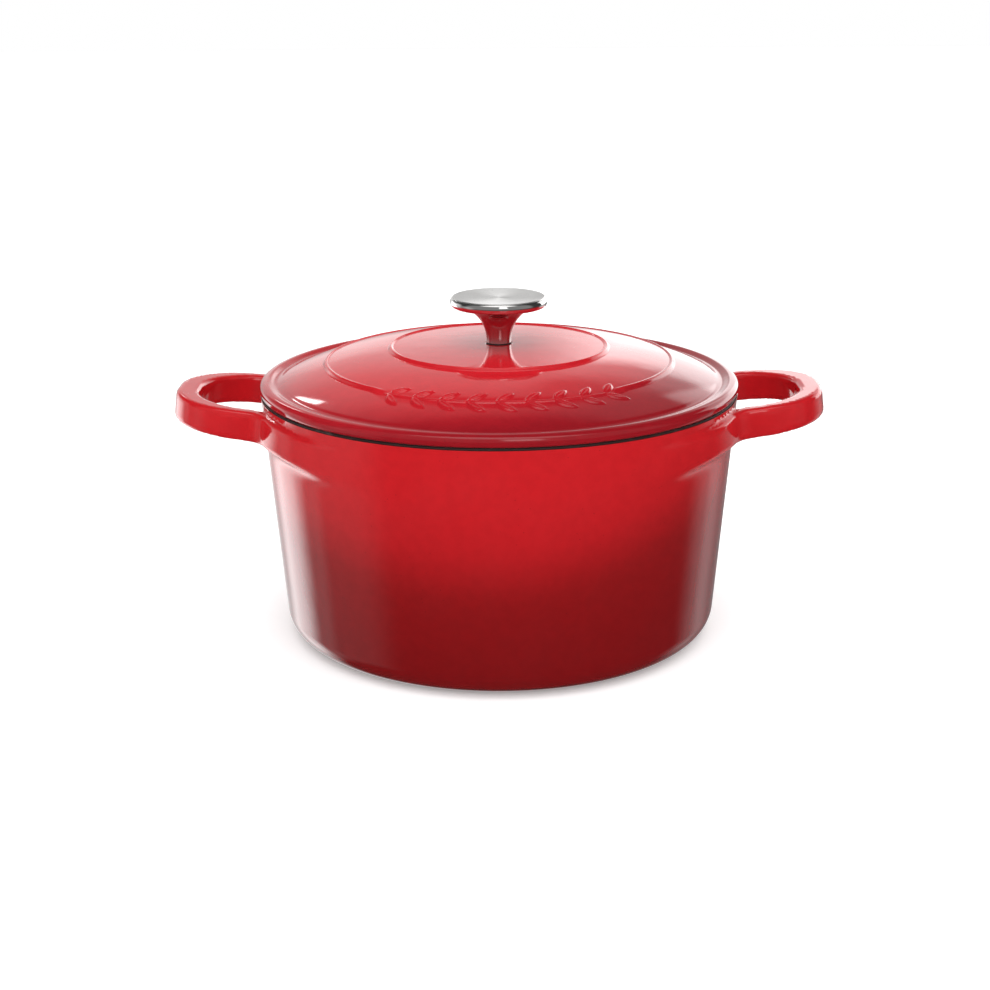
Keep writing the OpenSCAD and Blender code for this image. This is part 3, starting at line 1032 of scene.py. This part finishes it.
def build_pieces():
    """All pieces of the model, and the materials of the CAD nodes that stay in sight."""
    pot_red = red_enamel(
        "red_enamel_pot",
        [
            (0.00, (0.16, 0.0038, 0.0048)),
            (0.16, (0.19, 0.0044, 0.0056)),
            (0.32, (0.20, 0.0048, 0.0060)),
            (0.46, (0.265, 0.0062, 0.0080)),
            (0.64, (0.38, 0.0084, 0.0115)),
            (1.00, (0.50, 0.0104, 0.0145)),
        ],
        top=RIM_Z,
        bottom=0.0,
        # the last two arguments paint shade: darker sides, and darker still towards +X
        lean=0.07,
        side_shade_bow=2.0,
    )
    lid_red = red_enamel(
        "red_enamel_lid",
        [
            (0.00, (0.24, 0.0055, 0.010)),
            (0.25, (0.26, 0.0060, 0.012)),
            (0.50, (0.40, 0.0095, 0.016)),
            (0.80, (0.50, 0.0110, 0.018)),
            (1.00, (0.56, 0.0120, 0.019)),
        ],
        top=SEAT_Z,
        bottom=RIM_Z,
        # lean paints shade: the lid's red darker towards +X
        lean=0.06,
    )
    cream = cream_enamel()
    iron = bare_iron()
    chrome = polished_steel()
    satin = brushed_steel()
    place("pot_enamel_outside", pot_enamel_mesh(), "pot", "red_enamel", pot_red, "pot_exterior_enamel")
    place("pot_iron", pot_iron_mesh(), "pot", "bare_iron", iron, "pot_casting")
    place("pot_enamel_inside", pot_lining_mesh(), "pot", "cream_enamel", cream, "pot_interior_enamel")
    place("lid_enamel_outside", lid_enamel_mesh(), "lid", "red_enamel", lid_red, "lid_exterior_enamel")
    place("lid_iron", lid_iron_mesh(), "lid", "bare_iron", iron, "lid_casting")
    place("lid_enamel_inside", lid_lining_mesh(), "lid", "cream_enamel", cream, "lid_interior_enamel")
    place("knob_trumpet", knob_stem_mesh(), "lid", "polished_steel", chrome, "knob_stem")
    place("knob_disc", knob_cap_mesh(), "lid", "brushed_steel", satin, "knob_cap")
    steel = plain_steel()
    for node, material in (
        ("knob_insert", steel),
        ("knob_screw", steel),
        ("flat_washer", steel),
        ("spring_washer", steel),
        ("knob_gasket", seal_rubber()),
    ):
        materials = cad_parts[node].data.materials
        materials.clear()
        materials.append(material)


# ---- studio ----


CAMERA_LENS = 66.5
CAMERA_PLACE = (-1.15 * MM, -1.050, 0.398)
CAMERA_DOWN = 0.295
CAMERA_YAW = math.radians(0.09)
CAMERA_ROLL = math.radians(-0.35)
FLOOR_HALF = 6.0
FLOOR_GLOW = 0.25


def make_camera():
    """Camera a metre in front of the pot and a little above it, looking down at the lid."""
    data = bpy.data.cameras.new("camera")
    data.lens = CAMERA_LENS
    data.sensor_width = 36
    data.clip_start = 0.01
    camera = bpy.data.objects.new("camera", data)
    bpy.context.scene.collection.objects.link(camera)
    camera.location = CAMERA_PLACE
    pitch = Matrix.Rotation(math.pi / 2 - CAMERA_DOWN, 4, "X")
    turn = Matrix.Rotation(CAMERA_YAW, 4, "Z") @ pitch
    camera.rotation_euler = (turn @ Matrix.Rotation(CAMERA_ROLL, 4, "Z")).to_euler()
    bpy.context.scene.camera = camera


def make_floor():
    """Plain pale floor, left out of reflections and clear from below."""
    mesh = bpy.data.meshes.new("floor")
    corners = ((-1, -1), (1, -1), (1, 1), (-1, 1))
    mesh.from_pydata([(x * FLOOR_HALF, y * FLOOR_HALF, 0) for x, y in corners], [], [(0, 1, 2, 3)])
    floor = bpy.data.objects.new("floor", mesh)
    bpy.context.scene.collection.objects.link(floor)
    material = bpy.data.materials.new("floor")
    material.use_nodes = True
    shader = material.node_tree.nodes["Principled BSDF"]
    shader.inputs["Base Color"].default_value = (0.93, 0.93, 0.93, 1)
    shader.inputs["Roughness"].default_value = 1.0
    shader.inputs["Specular IOR Level"].default_value = 0.0
    shader.inputs["Emission Color"].default_value = (1, 1, 1, 1)
    shader.inputs["Emission Strength"].default_value = FLOOR_GLOW
    tree = material.node_tree
    below = tree.nodes.new("ShaderNodeNewGeometry")
    clear = tree.nodes.new("ShaderNodeBsdfTransparent")
    mix = tree.nodes.new("ShaderNodeMixShader")
    tree.links.new(below.outputs["Backfacing"], mix.inputs[0])
    tree.links.new(shader.outputs[0], mix.inputs[1])
    tree.links.new(clear.outputs[0], mix.inputs[2])
    tree.links.new(mix.outputs[0], tree.nodes["Material Output"].inputs["Surface"])
    mesh.materials.append(material)
    floor.visible_glossy = False


def make_world():
    """Studio surroundings: soft bright walls behind and beside the pot, dim above and in front."""
    world = bpy.data.worlds.new("studio")
    bpy.context.scene.world = world
    world.use_nodes = True
    tree = world.node_tree
    tree.nodes.clear()
    new = tree.nodes.new
    link = tree.links.new

    def calc(operation, a, b=0.0):
        node = new("ShaderNodeMath")
        node.operation = operation
        for socket, value in zip(node.inputs, (a, b)):
            if isinstance(value, (int, float)):
                socket.default_value = value
            else:
                link(value, socket)
        return node.outputs[0]

    coord = new("ShaderNodeTexCoord")
    split = new("ShaderNodeSeparateXYZ")
    link(coord.outputs["Generated"], split.inputs[0])
    x, y, z = split.outputs
    azimuth = calc("MULTIPLY", calc("ARCTAN2", x, y), 180 / math.pi)
    elevation = calc("MULTIPLY", calc("ARCSINE", z), 180 / math.pi)

    def panel(az, el, strength, soft_az=4.0, soft_el=4.0):
        """A soft-edged bright panel between two azimuths and two elevations."""

        def ramp(value, start, stop):
            node = new("ShaderNodeMapRange")
            node.interpolation_type = "SMOOTHSTEP"
            node.inputs["From Min"].default_value = start
            node.inputs["From Max"].default_value = stop
            link(value, node.inputs["Value"])
            return node.outputs["Result"]

        left = ramp(azimuth, az[0] - soft_az, az[0] + soft_az)
        right = ramp(azimuth, az[1] + soft_az, az[1] - soft_az)
        lower = ramp(elevation, el[0] - soft_el, el[0] + soft_el)
        upper = ramp(elevation, el[1] + soft_el, el[1] - soft_el)
        across = calc("MULTIPLY", left, right)
        upright = calc("MULTIPLY", calc("MULTIPLY", lower, upper), strength)
        return calc("MULTIPLY", across, upright)

    light = AMBIENT
    for args in STUDIO_PANELS:
        light = calc("ADD", light, panel(*args))
    studio = new("ShaderNodeBackground")
    studio.inputs["Color"].default_value = (1, 1, 1, 1)
    link(light, studio.inputs["Strength"])
    plain = new("ShaderNodeBackground")
    plain.inputs["Color"].default_value = (1, 1, 1, 1)
    plain.inputs["Strength"].default_value = 1.0
    path = new("ShaderNodeLightPath")
    mix = new("ShaderNodeMixShader")
    link(path.outputs["Is Camera Ray"], mix.inputs[0])
    link(studio.outputs[0], mix.inputs[1])
    link(plain.outputs[0], mix.inputs[2])
    out = new("ShaderNodeOutputWorld")
    link(mix.outputs[0], out.inputs["Surface"])


SOFT_LIGHTS = [
    # name, strength, spread, tilt from straight down towards the camera's side, turn
    ("overhead", 2.5, 120, 6, 0),
    ("front_fill", 0.45, 60, 62, -10),
]
AMBIENT = 0.05
STUDIO_PANELS = [
    # azimuths from +Y towards +X, elevations, strength, softness of the edges
    # backdrop behind the pot, left of the middle and then right of it
    ((-29, 4), (-4, 52), 0.22, 3.0, 4.0),
    ((-29, 4), (-4, 41), 0.32, 3.0, 9.0),
    ((-75, 4), (-4, 22), 0.25, 8.0, 8.0),
    ((-14, 4), (-2, 12), 0.45, 6.0, 4.0),
    ((4, 28), (-4, 51), 0.24, 3.0, 5.0),
    ((4, 60), (-6, 29), 0.48, 3.0, 5.0),
    ((4, 60), (-6, 19), 1.60, 3.0, 3.5),
    ((20, 60), (-6, 31), 0.90, 1.2, 2.0),
    # small bright lamp at the back left
    ((-24.8, -22.6), (23.0, 31.5), 9.0, 0.5, 0.8),
    # table seen in the wall of the pot
    ((-58, 0), (-40, -8), 0.9, 8.0, 7.0),
    ((0, 52), (-40, -8), 0.22, 4.0, 7.0),
    ((38, 64), (-40, -8), 0.45, 10.0, 7.0),
    ((-60, -32), (-40, 10), 1.9, 8.0, 7.0),
    ((-78, -58), (-40, 20), 0.45, 6.0, 7.0),
    ((-115, -76), (-40, 10), 0.28, 12.0, 7.0),
    # overhead softbox towards the camera, and a lamp beside the camera
    ((110, 200), (58, 88), 1.5, 8.0, 5.0),
    ((-200, -110), (58, 88), 1.5, 8.0, 5.0),
    ((158, 178), (20, 50), 2.2, 3.0, 3.0),
    # dim room behind the camera
    ((95, 200), (-10, 58), 0.22, 8.0, 6.0),
    ((-200, -95), (-10, 58), 0.22, 8.0, 6.0),
]


def make_lights():
    """Two big softboxes that light the pot without being mirrored in it."""
    for name, energy, spread, tilt, turn in SOFT_LIGHTS:
        data = bpy.data.lights.new(name, "SUN")
        data.energy = energy
        data.angle = math.radians(spread)
        lamp = bpy.data.objects.new(name, data)
        lamp.rotation_euler = (math.radians(tilt), 0, math.radians(turn))
        bpy.context.scene.collection.objects.link(lamp)
        lamp.visible_glossy = False
    bpy.context.scene.view_settings.view_transform = "Standard"


make_camera()
make_floor()
make_world()
make_lights()
build_pieces()
